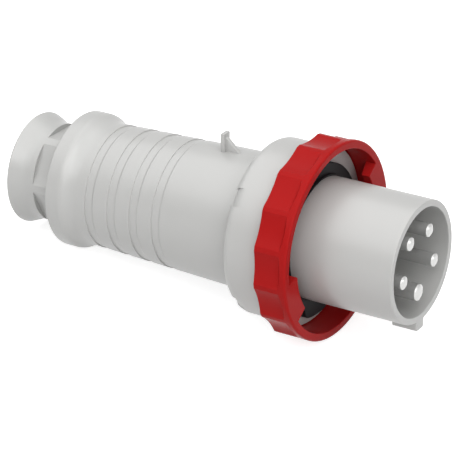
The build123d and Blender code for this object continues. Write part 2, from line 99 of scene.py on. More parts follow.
def gridMesh(name, points, sharpAngle=35, closeRows=True):
    # a grid of points [row, column, xyz], closed round its columns
    rows, columns = points.shape[:2]
    obj = addMesh(name, points.reshape(-1, 3), gridFaces(rows, columns, closeRows, True))
    return smooth(obj, sharpAngle)


def roundedOutline(corners, arcSteps=6, closed=True):
    # outline through corners (x, r, rounding): each rounded corner is an arc tangent to both its sides,
    # with one support point just past each end so that the flats shade flat
    sideShare = 0.48
    # a support point lies past its arc by a share of the radius and a little more,
    # but no more than a share of the shorter side
    radiusShare = 0.25
    leastPast = 0.05
    mostPast = 0.2
    corners = np.asarray(corners, float)
    count = len(corners)
    outline = []
    for k in range(count):
        here = corners[k, :2]
        rounding = corners[k, 2]
        if rounding <= 0 or (not closed and k in (0, count - 1)):
            outline.append(here)
            continue
        toBack = corners[k - 1, :2] - here
        toNext = corners[(k + 1) % count, :2] - here
        backLength = np.linalg.norm(toBack)
        nextLength = np.linalg.norm(toNext)
        toBack /= backLength
        toNext /= nextLength
        halfAngle = math.acos(np.clip(toBack @ toNext, -1, 1)) / 2
        reach = min(rounding / math.tan(halfAngle), sideShare * min(backLength, nextLength))
        radius = reach * math.tan(halfAngle)
        middle = toBack + toNext
        middle /= np.linalg.norm(middle)
        centre = here + middle * radius / math.sin(halfAngle)
        start = here + toBack * reach - centre
        end = here + toNext * reach - centre
        startAngle = math.atan2(start[1], start[0])
        turn = (math.atan2(end[1], end[0]) - startAngle + math.pi) % (2 * math.pi) - math.pi
        past = min(radiusShare * radius + leastPast, mostPast * min(backLength, nextLength))
        outline.append(here + toBack * min(reach + past, backLength / 2))
        angles = startAngle + turn * np.linspace(0, 1, arcSteps + 1)
        outline.extend(centre + radius * np.stack([np.cos(angles), np.sin(angles)], -1))
        outline.append(here + toNext * min(reach + past, nextLength / 2))
    return np.array(outline)


def evenAngles(count, extra=()):
    # evenly spaced angles in degrees, with extra ones put in between
    angles = np.concatenate([np.arange(count) * 360.0 / count, np.asarray(extra, float) % 360.0])
    return np.unique(np.round(angles, 6))


def quarterTurn(points):
    # angles along a quarter circle, in radians
    return np.radians(np.linspace(0, 90, points))


def turnedGrid(outline, angles, y=0.0, z=0.0):
    # x stays and r turns about the axis: y = r cos a, z = r sin a
    a = np.radians(angles)[None, :]
    x = outline[:, 0][:, None]
    r = outline[:, 1][:, None]
    return np.stack([x + 0 * a, y + r * np.cos(a), z + r * np.sin(a)], -1)


def polar(x, r, a):
    # grid points from arrays of x, radius and angle in radians
    return np.stack([x, r * np.cos(a), r * np.sin(a)], -1)


# Materials

def startGroup(name, colours, numbers):
    # a node group with these inputs and with the three outputs that every finish has
    group = bpy.data.node_groups.new(name, "ShaderNodeTree")
    for kind, inputs in (("NodeSocketColor", colours), ("NodeSocketFloat", numbers)):
        for key, value in inputs.items():
            socket = group.interface.new_socket(name=key, in_out="INPUT", socket_type=kind)
            socket.default_value = value
    group.interface.new_socket(name="Colour", in_out="OUTPUT", socket_type="NodeSocketColor")
    for key in ("Roughness", "Height"):
        group.interface.new_socket(name=key, in_out="OUTPUT", socket_type="NodeSocketFloat")
    return group, group.nodes.new("NodeGroupInput"), group.nodes.new("NodeGroupOutput")


def mathNode(tree, operation, *given):
    # the output of a math node whose inputs are sockets or plain numbers
    node = tree.nodes.new("ShaderNodeMath")
    node.operation = operation
    for socket, value in zip(node.inputs, given):
        if isinstance(value, bpy.types.NodeSocket):
            tree.links.new(value, socket)
        else:
            socket.default_value = value
    return node.outputs[0]


def patternNode(tree, kind, place, **values):
    # a texture node on Object coordinates
    node = tree.nodes.new(kind)
    for key, value in values.items():
        node.inputs[key].default_value = value
    tree.links.new(place.outputs["Object"], node.inputs["Vector"])
    return node


def rangeNode(tree, value, low, high):
    # 0 at low and below, 1 at high and above
    node = tree.nodes.new("ShaderNodeMapRange")
    node.inputs["From Min"].default_value = low
    node.inputs["From Max"].default_value = high
    tree.links.new(value, node.inputs["Value"])
    return node.outputs["Result"]


def colourMix(tree, amount, first, second):
    # first where amount is 0, second where it is 1
    node = tree.nodes.new("ShaderNodeMix")
    node.data_type = "RGBA"
    tree.links.new(amount, node.inputs["Factor"])
    tree.links.new(first, node.inputs["A"])
    if isinstance(second, bpy.types.NodeSocket):
        tree.links.new(second, node.inputs["B"])
    else:
        node.inputs["B"].default_value = second
    return node.outputs["Result"]


def mouldedPlasticGroup():
    # fine spark-eroded grain and slow mottling of a moulding, with painted light that makes faces that look
    # up lighter: gives colour, roughness and height
    cloudScale = 38.0
    cloudGloss = 0.16
    # lighter grey painted on faces that look up, as painted light from above
    paintedTopColour = (0.72, 0.71, 0.69, 1)
    group, given, result = startGroup(
        "mouldedPlastic",
        {"Colour": (0.6, 0.6, 0.6, 1)},
        {"Mottling": 0.04, "Roughness": 0.45, "Grain Scale": 1800.0, "Painted Top Light": 0.05},
    )
    links = group.links
    place = group.nodes.new("ShaderNodeTexCoord")
    grain = patternNode(group, "ShaderNodeTexNoise", place, Detail=3.0, Roughness=0.6)
    links.new(given.outputs["Grain Scale"], grain.inputs["Scale"])
    cloud = patternNode(group, "ShaderNodeTexNoise", place, Scale=cloudScale, Detail=4.0)

    # colour times 1 plus mottling times the cloud about its middle
    centred = mathNode(group, "SUBTRACT", cloud.outputs["Fac"], 0.5)
    scale = mathNode(group, "MULTIPLY_ADD", centred, given.outputs["Mottling"], 1.0)
    tinted = group.nodes.new("ShaderNodeVectorMath")
    tinted.operation = "SCALE"
    links.new(given.outputs["Colour"], tinted.inputs[0])
    links.new(scale, tinted.inputs["Scale"])

    # dust settles on faces that look up
    facing = group.nodes.new("ShaderNodeNewGeometry")
    parts = group.nodes.new("ShaderNodeSeparateXYZ")
    links.new(facing.outputs["Normal"], parts.inputs[0])
    # painted light from above: faces that look up are mixed towards a lighter grey
    upward = rangeNode(group, parts.outputs["Z"], 0.2, 1.0)
    paintedTopLight = mathNode(group, "MULTIPLY", upward, given.outputs["Painted Top Light"])
    links.new(colourMix(group, paintedTopLight, tinted.outputs[0], paintedTopColour), result.inputs["Colour"])

    # roughness plus a share of the cloud about its middle
    gloss = mathNode(group, "MULTIPLY_ADD", centred, cloudGloss, given.outputs["Roughness"])
    links.new(gloss, result.inputs["Roughness"])
    links.new(grain.outputs["Fac"], result.inputs["Height"])
    return group


def turnedMetalGroup():
    # fine lathe lines round the X axis with faint blotches: gives colour, roughness and height
    blotchScale = 140.0
    tarnishGloss = 0.6
    group, given, result = startGroup(
        "turnedMetal",
        {"Colour": (0.7, 0.7, 0.7, 1), "Tarnish": (0.4, 0.35, 0.3, 1)},
        {"Tarnish Amount": 0.15, "Roughness": 0.2, "Line Scale": 900.0},
    )
    links = group.links
    place = group.nodes.new("ShaderNodeTexCoord")
    lines = patternNode(group, "ShaderNodeTexWave", place, Distortion=1.5, Detail=3.0)
    lines.wave_type = "BANDS"
    lines.bands_direction = "X"
    links.new(given.outputs["Line Scale"], lines.inputs["Scale"])
    blotch = patternNode(group, "ShaderNodeTexNoise", place, Scale=blotchScale, Detail=5.0)

    # tarnish amount times the blotches' high parts, which are rougher too
    spread = rangeNode(group, blotch.outputs["Fac"], 0.45, 0.75)
    amount = mathNode(group, "MULTIPLY", spread, given.outputs["Tarnish Amount"])
    mixed = colourMix(group, amount, given.outputs["Colour"], given.outputs["Tarnish"])
    links.new(mixed, result.inputs["Colour"])
    gloss = mathNode(group, "MULTIPLY_ADD", amount, tarnishGloss, given.outputs["Roughness"])
    links.new(gloss, result.inputs["Roughness"])
    links.new(lines.outputs["Fac"], result.inputs["Height"])
    return group


plasticGroup = mouldedPlasticGroup()
metalGroup = turnedMetalGroup()


def groupMaterial(name, group, values, bump, bumpDistance, shaderValues):
    # one Principled shader fed by a group; what is the same all over is set on the shader itself
    material = bpy.data.materials.new(name)
    material.use_nodes = True
    nodes = material.node_tree.nodes
    links = material.node_tree.links
    shader = nodes["Principled BSDF"]
    surface = nodes.new("ShaderNodeGroup")
    surface.node_tree = group
    for key, value in values.items():
        surface.inputs[key].default_value = value
    links.new(surface.outputs["Colour"], shader.inputs["Base Color"])
    links.new(surface.outputs["Roughness"], shader.inputs["Roughness"])
    relief = nodes.new("ShaderNodeBump")
    relief.inputs["Strength"].default_value = bump
    relief.inputs["Distance"].default_value = bumpDistance
    links.new(surface.outputs["Height"], relief.inputs["Height"])
    links.new(relief.outputs["Normal"], shader.inputs["Normal"])
    for key, value in shaderValues.items():
        shader.inputs[key].default_value = value
    return material


# the last value is the share of painted top light, which makes faces that look up lighter
def plastic(colour, mottling, roughness, grain, paintedTopLight=0.0):
    return {
        "Colour": colour,
        "Mottling": mottling,
        "Roughness": roughness,
        "Grain Scale": grain,
        "Painted Top Light": paintedTopLight,
    }


def metal(colour, tarnish, amount, roughness, lines):
    return {
        "Colour": colour,
        "Tarnish": tarnish,
        "Tarnish Amount": amount,
        "Roughness": roughness,
        "Line Scale": lines,
    }


finishes = {
    "bodyGrey": dict(
        group=plasticGroup,
        # the body's faces that look up get a small share of painted top light
        values=plastic((0.455, 0.455, 0.445, 1), mottling=0.03, roughness=0.33, grain=1500.0, paintedTopLight=0.03),
        bump=0.10,
        bumpDistance=0.00004,
        shaderValues={"IOR": 1.5, "Specular IOR Level": 0.8},
    ),
    "ringRed": dict(
        group=plasticGroup,
        values=plastic((0.385, 0.0115, 0.0115, 1), mottling=0.06, roughness=0.22, grain=1500.0),
        bump=0.08,
        bumpDistance=0.00004,
        shaderValues={"IOR": 1.5, "Specular IOR Level": 0.035},
    ),
    "insertGrey": dict(
        group=plasticGroup,
        values=plastic((0.22, 0.22, 0.22, 1), mottling=0.10, roughness=0.55, grain=900.0),
        bump=0.2,
        bumpDistance=0.00006,
        shaderValues={"IOR": 1.5},
    ),
    "blackRubber": dict(
        group=plasticGroup,
        values=plastic((0.013, 0.013, 0.014, 1), mottling=0.3, roughness=0.55, grain=1200.0),
        bump=0.25,
        bumpDistance=0.00008,
        shaderValues={"IOR": 1.45, "Specular IOR Level": 0.14},
    ),
    "pinMetal": dict(
        group=metalGroup,
        values=metal((0.6, 0.6, 0.59, 1), (0.4, 0.38, 0.34, 1), amount=0.15, roughness=0.15, lines=1400.0),
        bump=0.02,
        bumpDistance=0.00002,
        shaderValues={"Metallic": 0.6, "IOR": 1.5},
    ),
    "screwSteel": dict(
        group=metalGroup,
        values=metal((0.6, 0.6, 0.58, 1), (0.35, 0.33, 0.28, 1), amount=0.3, roughness=0.3, lines=1200.0),
        bump=0.08,
        bumpDistance=0.00003,
        shaderValues={"Metallic": 1.0},
    ),
    "brass": dict(
        group=metalGroup,
        values=metal((0.72, 0.5, 0.2, 1), (0.3, 0.2, 0.1, 1), amount=0.35, roughness=0.28, lines=1200.0),
        bump=0.1,
        bumpDistance=0.00003,
        shaderValues={"Metallic": 1.0},
    ),
}
materials = {name: groupMaterial(name, **values) for name, values in finishes.items()}
print("materials made:", len(materials))


def finishPiece(obj, body, material, nodes=()):
    obj.data.materials.clear()
    obj.data.materials.append(materials[material])
    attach(obj, body)
    if nodes:
        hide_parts(*nodes)
    return obj


# Sleeve housing

sleeve = dict(
    mouth=65.0,
    outerRadius=35.5,
    boreRadius=31.65,
    rimRound=0.7,
    boreRound=0.45,
    faceRow=1.1,
    keyMiddle=270.0,
    keyWidth=8.3,
    keyDrop=5.4,
    keyLength=15.4,
    keyRound=1.6,
    keyRearRound=0.3,
    keySidePoints=5,
    keyCornerPoints=8,
    keyFloorPoints=6,
    flangeFront=-4.0,
    flangeRear=-6.2,
    flangeRadius=52.4,
    seatRadius=50.0,
    seatRear=-9.3,
    spigotRadius=47.3,
    spigotBore=42.9,
    spigotRear=-26.3,
    tubeRear=-12.0,
    sealFront=-16.3,
    sealRear=-19.3,
    sealRadius=45.2,
    stopFrom=(100.0, 280.0),
    stopAngle=8.0,
    stopHeight=0.8,
    stopSink=1.0,
)
keyHalfAngle = math.degrees(math.asin(sleeve["keyWidth"] / 2 / sleeve["outerRadius"]))


def keyedSection(angles, r, keyInset, bottom):
    # one ring of points in the y, z plane: a circle, on which the columns near the key follow
    # the key's own outline when bottom is below the circle
    s = sleeve
    half = s["keyWidth"] / 2 - keyInset
    a = np.radians(angles)
    y = r * np.cos(a)
    z = r * np.sin(a)
    inKey = np.abs(angles - s["keyMiddle"]) < keyHalfAngle + 1e-6
    if bottom > r:
        # the key's columns share out its outline: down one side, round two corners, up the other
        corner = max(s["keyRound"] - keyInset, 0.3)
        low = bottom - keyInset
        top = math.sqrt(r * r - half * half)
        quarter = quarterTurn(s["keyCornerPoints"])
        leftY = -half + corner * (1 - np.cos(quarter))
        leftZ = -low + corner * (1 - np.sin(quarter))
        left = np.stack([leftY, leftZ], -1)
        drop = np.linspace(0, 1, s["keySidePoints"])[:, None]
        down = np.array([[-half, -top]]) * (1 - drop) + left[0] * drop
        along = np.linspace(0, 1, s["keyFloorPoints"])[1:-1, None]
        across = left[-1] * (1 - along) + (left[-1] * [-1, 1]) * along
        halfPath = np.concatenate([down, left[1:]])
        path = np.concatenate([halfPath, across, (halfPath * [-1, 1])[::-1]])
        y[inKey] = path[:, 0]
        z[inKey] = path[:, 1]
    return y, z


def makeSleeveHousing():
    s = sleeve
    keyColumns = 2 * (s["keySidePoints"] + s["keyCornerPoints"] - 1) + s["keyFloorPoints"] - 2
    keyGap = 0.4
    around = evenAngles(240)
    around = around[np.abs(around - s["keyMiddle"]) > keyHalfAngle + keyGap]
    inKey = s["keyMiddle"] + keyHalfAngle * np.linspace(-1, 1, keyColumns)
    angles = np.sort(np.concatenate([around, inKey]))
    rows = []

    def addRow(x, radius, keyInset=0.0, bottom=0.0):
        y, z = keyedSection(angles, radius, keyInset, bottom)
        rows.append(np.stack([np.full_like(y, x), y, z], -1))

    mouth = s["mouth"]
    bottom = s["outerRadius"] + s["keyDrop"]
    keyRear = mouth - s["keyLength"]
    quarter = quarterTurn(7)
    # bore, from its rear end to the mouth
    bore = s["boreRadius"]
    boreRound = s["boreRound"]
    for x in (s["tubeRear"], s["tubeRear"] + support, mouth - boreRound - support):
        addRow(x, bore)
    for q in quarter:
        addRow(mouth - boreRound * (1 - math.sin(q)), bore + boreRound * (1 - math.cos(q)))
    # front face, then the rounded outer edge that runs round the key as well
    rimRound = s["rimRound"]
    for r in (bore + s["faceRow"], s["outerRadius"] - rimRound - support):
        addRow(mouth, r)
    for q in quarter:
        inset = rimRound * (1 - math.sin(q))
        addRow(mouth - rimRound * (1 - math.cos(q)), s["outerRadius"] - inset, inset, bottom)
    rearRound = s["keyRearRound"]
    for x in (mouth - rimRound - support, keyRear + rearRound + support):
        addRow(x, s["outerRadius"], 0.0, bottom)
    for q in quarterTurn(5):
        inset = rearRound * (1 - math.cos(q))
        addRow(keyRear + rearRound * (1 - math.sin(q)), s["outerRadius"], inset, bottom)
    # outside of the sleeve down to the flange, and the hidden rear parts
    corners = [
        (keyRear - seamGap, s["outerRadius"], 0),
        (s["flangeFront"], s["outerRadius"], 0.4),
        (s["flangeFront"], s["flangeRadius"], 0.45),
        (s["flangeRear"], s["flangeRadius"], 0.3),
        (s["flangeRear"], s["seatRadius"], 0.2),
        (s["seatRear"], s["seatRadius"], 0.2),
        (s["seatRear"], s["spigotRadius"], 0.2),
        (s["sealFront"], s["spigotRadius"], 0.1),
        (s["sealFront"], s["sealRadius"], 0.2),
        (s["sealRear"], s["sealRadius"], 0.2),
        (s["sealRear"], s["spigotRadius"], 0.1),
        (s["spigotRear"], s["spigotRadius"], 0.6),
        (s["spigotRear"], s["spigotBore"], 0.4),
        (s["seatRear"], s["spigotBore"], 0.3),
        (s["seatRear"], s["outerRadius"], 0.3),
        (s["tubeRear"], s["outerRadius"], 0.3),
        (s["tubeRear"], bore, 0),
    ]
    for x, r in roundedOutline(corners, arcSteps=4, closed=False)[:-1]:
        addRow(x, r)
    return gridMesh("sleeveHousing", np.array(rows), sharpAngle=32)


def makeRingStops():
    # two blocks behind the collar, on which the ring's turn ends
    s = sleeve
    low = s["seatRadius"] - s["stopSink"]
    high = s["seatRadius"] + s["stopHeight"]
    front = s["flangeRear"]
    rear = s["seatRear"]
    outline = np.array([(rear, low), (front, low), (front, high), (rear, high)])
    rows = len(outline)
    columns = 5
    stops = []
    for number, start in enumerate(s["stopFrom"], 1):
        points = turnedGrid(outline, np.linspace(start, start + s["stopAngle"], columns))
        firstCap = np.arange(rows) * columns
        caps = [firstCap, (firstCap + columns - 1)[::-1]]
        faces = np.concatenate([gridFaces(rows, columns, True, False), caps])
        stop = addMesh("ringStop" + str(number), points.reshape(-1, 3), faces)
        stops.append(smooth(stop, sharpAngle=30))
    return stops


finishPiece(makeSleeveHousing(), "plug_body", "bodyGrey", ["sleeve_housing"])
for piece in makeRingStops():
    finishPiece(piece, "plug_body", "bodyGrey")
print("sleeve housing made")


# Gasket

gasket = dict(
    front=0.0,
    thickness=4.0,
    innerRadius=35.7,
    width=6.9,
    tabReach=4.8,
    tabFrom=-111.0,
    tabTo=-74.0,
    tabRound=6.0,
    edgeRound=0.45,
    lipHeight=2.3,
    lipWidth=0.8,
    lipRound=0.3,
)


def tabRise(fromSide):
    # outer radius of the tab at an angle from one of its sides, in degrees: the corner is an arc
    # whose centre lies one rounding inside both the side and the tab's outer edge
    g = gasket
    tabRadius = g["innerRadius"] + g["width"] + g["tabReach"]
    centreRadius = tabRadius - g["tabRound"]
    centreAngle = math.asin(g["tabRound"] / centreRadius)
    off = np.radians(fromSide) - centreAngle
    reach = np.maximum(g["tabRound"] ** 2 - (centreRadius * np.sin(off)) ** 2, 0)
    arc = centreRadius * np.cos(off) + np.sqrt(reach)
    return np.where(fromSide < 0, 0, np.where(off > 0, tabRadius, arc))


def makeGasket():
    g = gasket
    # columns close together where the tab's sides rise
    steps = np.array([0.0, 0.01, 0.15, 0.4, 0.7])
    angles = evenAngles(360, [*(g["tabFrom"] + steps), *(g["tabTo"] - steps)])
    signed = (angles + 180.0) % 360.0 - 180.0
    rise = np.minimum(tabRise(signed - g["tabFrom"]), tabRise(g["tabTo"] - signed))
    outer = np.maximum(g["innerRadius"] + g["width"], rise)
    e = g["edgeRound"]
    rear = g["front"] - g["thickness"]
    # outline about the plain width with a thin lip at the bore; its outer half moves out with the tab
    lipFront = g["front"] + g["lipHeight"]
    corners = [
        (lipFront, 0.0, g["lipRound"]),
        (lipFront, g["lipWidth"], g["lipRound"]),
        (g["front"], g["lipWidth"], 0.15),
        (g["front"], g["width"], e),
        (rear, g["width"], e),
        (rear, 0.0, e),
    ]
    section = roundedOutline(corners, arcSteps=5)
    share = section[:, 1][:, None]
    extra = (outer - g["innerRadius"] - g["width"])[None, :]
    r = g["innerRadius"] + share + np.where(share < g["width"] / 2, 0, extra)
    a = np.radians(angles)[None, :]
    x = section[:, 0][:, None] + 0 * a
    return gridMesh("faceGasket", polar(x, r, a + 0 * x), sharpAngle=40)


finishPiece(makeGasket(), "plug_body", "blackRubber", ["face_gasket"])
print("gasket made")


# Locking ring

ring = dict(
    front=11.7,
    rear=-8.8,
    outerRadius=57.7,
    boreRadius=52.9,
    lipRadius=50.3,
    lipFront=-6.5,
    edgeRound=1.3,
    boreRound=0.5,
    boreRow=0.6,
    rearRound=0.4,
    rearRow=0.9,
    scallops=16,
    phase=88.45,
    depth=1.9,
    ridgeWidth=2.9,
    scallopFront=8.3,
    ramp=1.6,
    camRadius=43.9,
    camDepth=7.0,
    camRamp=2.0,
    camFrom=6.4,
    camTo=37.0,
    reliefFrom=39.5,
    reliefTo=108.5,
    reliefDepth=0.8,
)


def scallopDrop(angles, x):
    # depth below the ring's cylinder: the cut of a round tool whose axis lies outside the ring,
    # ended in front by a cone, so the tool shrinks over the ramp
    g = ring
    pitch = 360.0 / g["scallops"]
    phi = np.radians((angles - g["phase"] + pitch / 2) % pitch - pitch / 2)
    half = math.radians(pitch / 2) - g["ridgeWidth"] / 2 / g["outerRadius"]
    chord = g["outerRadius"] * math.sin(half)
    sag = g["depth"] - g["outerRadius"] * (1 - math.cos(half))
    tool = (chord**2 + sag**2) / (2 * sag)
    axis = g["outerRadius"] - g["depth"] + tool
    shrink = np.clip((x - (g["scallopFront"] - g["ramp"])) / g["ramp"], 0, 1) * g["depth"]
    size = tool - shrink
    inside = np.maximum(size**2 - (axis * np.sin(phi)) ** 2, 0)
    surface = axis * np.cos(phi) - np.sqrt(inside)
    drop = np.where(size > axis * np.abs(np.sin(phi)), g["outerRadius"] - surface, 0)
    return np.maximum(drop, 0)


def within(angles, start, end):
    # which columns lie between two angles, as one row
    reach = 1e-4
    return ((angles >= start - reach) & (angles <= end + reach))[None, :]


def makeLockingRing():
    g = ring
    pitch = 360.0 / g["scallops"]
    ridge = math.degrees(g["ridgeWidth"] / 2 / g["outerRadius"])
    # three columns at each ridge's edge, and two at each end of a cam and of a relief, the second outside
    crease = np.array([-0.12, 0.0, 0.12])
    endGap = 0.02
    extra = []
    for k in range(g["scallops"]):
        for side in (-1, 1):
            extra.extend(g["phase"] + k * pitch + side * (pitch / 2 - ridge + crease))
    for turn in (0.0, 180.0):
        for start, end in ((g["camFrom"], g["camTo"]), (g["reliefFrom"], g["reliefTo"])):
            extra.extend([start + turn, start + turn - endGap, end + turn, end + turn + endGap])
    angles = evenAngles(480, extra)
    half = angles % 180.0
    onCam = within(half, g["camFrom"], g["camTo"])
    onRelief = within(half, g["reliefFrom"], g["reliefTo"])
    a = np.radians(angles)[None, :]

    # outside, from the rear edge to the front, with the scallops taken off
    rampStart = g["scallopFront"] - g["ramp"]
    quarter = quarterTurn(6)
    outerX = np.concatenate(
        [
            g["rear"] + g["rearRound"] * (1 - np.sin(quarter[::-1])),
            [g["rear"] + g["rearRow"], 0.0, rampStart - support, rampStart],
            rampStart + g["ramp"] * np.linspace(0.1, 1, 14),
            [g["scallopFront"] + support, g["front"] - g["edgeRound"] - support],
        ]
    )
    outerX = np.unique(np.round(outerX, 5))
    # the rear edge's inset is that of a quarter circle, and nothing past its end
    intoEdge = np.maximum(g["rear"] + g["rearRound"] - outerX, 0)
    rearInset = g["rearRound"] - np.sqrt(np.maximum(g["rearRound"] ** 2 - intoEdge**2, 0))
    outer = g["outerRadius"] - scallopDrop(angles[None, :], outerX[:, None]) - rearInset[:, None]
    blocks = [polar(outerX[:, None] + 0 * a, outer, a + 0 * outer)]

    def plain(outline):
        blocks.append(turnedGrid(np.asarray(outline, float), angles))

    # rounded front edge and the front face
    quarter = quarterTurn(8)
    edgeX = g["front"] - g["edgeRound"] * (1 - np.sin(quarter))
    edgeR = g["outerRadius"] - g["edgeRound"] * (1 - np.cos(quarter))
    plain(np.stack([edgeX, edgeR], -1))
    faceOuter = g["outerRadius"] - g["edgeRound"] - support
    faceInner = g["boreRadius"] + g["boreRound"] + support
    plain([(g["front"], faceOuter), (g["front"], faceInner)])

    # bore and cams share their rows: a plain column follows the bore, a cam's column goes round the cam
    camRear = g["front"] - g["camDepth"]
    middle = (g["camFrom"] + g["camTo"]) / 2
    span = g["camTo"] - g["camFrom"]
    slope = (half - middle)[None, :] / span * g["camRamp"] + g["camRamp"] / 2
    e = g["boreRound"]
    corners = [
        (g["front"], g["boreRadius"] + e, 0),
        (g["front"], g["camRadius"], e),
        (camRear, g["camRadius"], e),
        (camRear, g["boreRadius"], 0),
    ]
    camOutline = roundedOutline(corners, arcSteps=5, closed=False)
    edge = quarterTurn(7)
    restX = np.linspace(g["front"] - e - support, camRear, len(camOutline) - len(edge))
    boreX = np.concatenate([g["front"] - e * (1 - np.cos(edge)), restX])
    boreR = np.concatenate([g["boreRadius"] + e * (1 - np.sin(edge)), np.full_like(restX, g["boreRadius"])])
    rearPart = (camOutline[:, 0] < g["front"] - g["camDepth"] / 2)[:, None]
    x = np.where(onCam, camOutline[:, :1] + rearPart * slope, boreX[:, None])
    r = np.where(onCam, camOutline[:, 1:], boreR[:, None])
    blocks.append(polar(x, r, a + 0 * x))

    # rest of the bore, the lip behind the collar, and the rear face
    corners = [
        (camRear - g["boreRow"], g["boreRadius"], 0),
        (g["lipFront"], g["boreRadius"], 0.3),
        (g["lipFront"], g["lipRadius"], 0.2),
        (g["rear"], g["lipRadius"], 0.3),
        (g["rear"], g["outerRadius"] - g["depth"] - g["rearRound"] - support, 0),
    ]
    inner = roundedOutline(corners, arcSteps=3, closed=False)
    # the lip is cut back where the housing's two stops travel
    r = np.where(onRelief, np.maximum(inner[:, 1:], g["lipRadius"] + g["reliefDepth"]), inner[:, 1:])
    blocks.append(polar(inner[:, :1] + 0 * a, r, a + 0 * r))
    return gridMesh("lockingRing", np.concatenate(blocks), sharpAngle=24)


finishPiece(makeLockingRing(), "bayonet_ring", "ringRed", ["locking_ring"])
print("locking ring made")


# Handle

handle = dict(
    bellFront=-9.3,
    bellRadius=51.1,
    bellRear=-33.8,
    bellRound=5.0,
    bellBore=47.6,
    bellWall=3.5,
    gripFront=39.8,
    gripRear=36.25,
    gripRearX=-139.9,
    wall=3.2,
    shoulderRadius=40.0,
    shoulderRear=-159.2,
    shoulderRound=0.9,
    rearRow=2.0,
    convex=6.5,
    concave=14.0,
    threadBore=24.9,
    seatX=-128.0,
    seatRadius=20.0,
    bulkheadX=-124.0,
    grooves=4,
    firstGroove=-134.2,
    groovePitch=15.4,
    grooveWidth=5.9,
    grooveDepth=0.65,
    grooveRamp=1.2,
    grooveBreak=0.12,
    grooveEase=0.5,
    steepStep=0.05,
    crestBreak=6.0,
    crestStep=0.07,
    notchAngles=(39.25, 140.75, 219.25, 320.75),
    notchSpan=12.5,
    notchRound=7.5,
    cornerReach=1.5,
)


def gripRadius(x):
    h = handle
    taper = (h["gripFront"] - h["gripRear"]) / (h["bellRear"] - h["gripRearX"])
    return h["gripRear"] + taper * (x - h["gripRearX"])


def handleOutside():
    # rear shoulder, its S-curve, the grooved grip and the bell, as one line from rear to front
    h = handle
    turn = math.acos(1 - (h["shoulderRadius"] - h["gripRear"]) / (h["convex"] + h["concave"]))
    meetX = h["gripRearX"] - h["concave"] * math.sin(turn)
    crestX = meetX - h["convex"] * math.sin(turn)
    corners = [
        (h["shoulderRear"], h["threadBore"] + h["rearRow"], 0),
        (h["shoulderRear"], h["shoulderRadius"], h["shoulderRound"]),
        (crestX, h["shoulderRadius"], 0.05),
        (crestX + h["steepStep"], h["shoulderRadius"] - h["crestStep"], 0),
    ]
    # the crest's arc starts below a slight step, which shows as a fine line round the shoulder
    a = np.linspace(math.radians(h["crestBreak"]), turn, 12)
    crestRadius = h["shoulderRadius"] - h["convex"] * (1 - np.cos(a))
    crest = np.stack([crestX + h["convex"] * np.sin(a), crestRadius], -1)
    b = np.linspace(turn, 0, 14)[1:]
    footRadius = h["gripRear"] + h["concave"] * (1 - np.cos(b))
    foot = np.stack([h["gripRearX"] - h["concave"] * np.sin(b), footRadius], -1)
    corners += [(x, r, 0) for x, r in np.concatenate([crest, foot])]
    for k in range(h["grooves"]):
        rear = h["firstGroove"] + k * h["groovePitch"]
        front = rear + h["grooveWidth"]
        corners.append((rear, gripRadius(rear), h["grooveBreak"]))
        corners.append((rear + h["steepStep"], gripRadius(rear) - h["grooveDepth"], h["grooveBreak"]))
        corners.append((front - h["grooveRamp"], gripRadius(front) - h["grooveDepth"], h["grooveEase"]))
        corners.append((front, gripRadius(front), h["grooveEase"]))
    corners.append((h["bellRear"], h["gripFront"], 0.35))
    corners.append((h["bellRear"], h["bellRadius"], h["bellRound"]))
    corners.append((h["bellFront"], h["bellRadius"], 0.4))
    return corners


def makeHandle():
    h = handle
    inner = h["bellRear"] + h["bellWall"]
    corners = handleOutside() + [
        (h["bellFront"], h["bellBore"], 0.4),
        (inner, h["bellBore"], 0.8),
        (inner, gripRadius(inner) - h["wall"], 0.5),
        (h["bulkheadX"], gripRadius(h["bulkheadX"]) - h["wall"], 1.0),
        (h["bulkheadX"], h["seatRadius"], 0.4),
        (h["seatX"], h["seatRadius"], 0.4),
        (h["seatX"], h["threadBore"], 0.3),
        (h["shoulderRear"], h["threadBore"], 0.5),
    ]
    outline = roundedOutline(corners, arcSteps=7)
    # four columns at each recess's side, two of them close together
    crease = np.array([-0.25, 0.0, 0.02, 0.25])
    notchEdges = []
    for middle in h["notchAngles"]:
        for side in (-1, 1):
            notchEdges.extend(middle + side * (h["notchSpan"] / 2 + crease))
    angles = evenAngles(240, notchEdges)
    grid = turnedGrid(outline, angles)
    # shallow recesses in the bell's rear edge: between their sides the rounded corner gets a larger
    # radius, so its rows are scaled about the centre of its arc and moved with that centre
    apart = (angles[:, None] - np.array(h["notchAngles"]) + 180.0) % 360.0 - 180.0
    inNotch = within(np.abs(apart).min(axis=1), 0.0, h["notchSpan"] / 2)
    x = outline[:, 0][:, None]
    r = outline[:, 1][:, None]
    centreX = h["bellRear"] + h["bellRound"]
    centreR = h["bellRadius"] - h["bellRound"]
    near = h["cornerReach"]
    tolerance = 0.01
    onCorner = (x < centreX + near) & (x > h["bellRear"] - tolerance) & (r > centreR - near)
    growth = h["notchRound"] / h["bellRound"]
    newX = h["bellRear"] + h["notchRound"] + growth * (x - centreX)
    newR = h["bellRadius"] - h["notchRound"] + growth * (r - centreR)
    moved = onCorner * inNotch
    x = x + moved * (newX - x)
    r = r + moved * (newR - r)
    grid = polar(x, r, np.radians(angles)[None, :] + 0 * x)
    return gridMesh("handleShell", grid, sharpAngle=38)


finishPiece(makeHandle(), "plug_body", "bodyGrey", ["handle_shell"])

lug = dict(
    rear=-63.2,
    plate=2.4,
    width=6.2,
    top=49.7,
    edge=0.3,
    web=2.6,
    webLength=9.2,
    webDrop=2.3,
    webEdge=0.25,
    sink=1.0,
    webSink=0.8,
    toeSink=0.3,
)


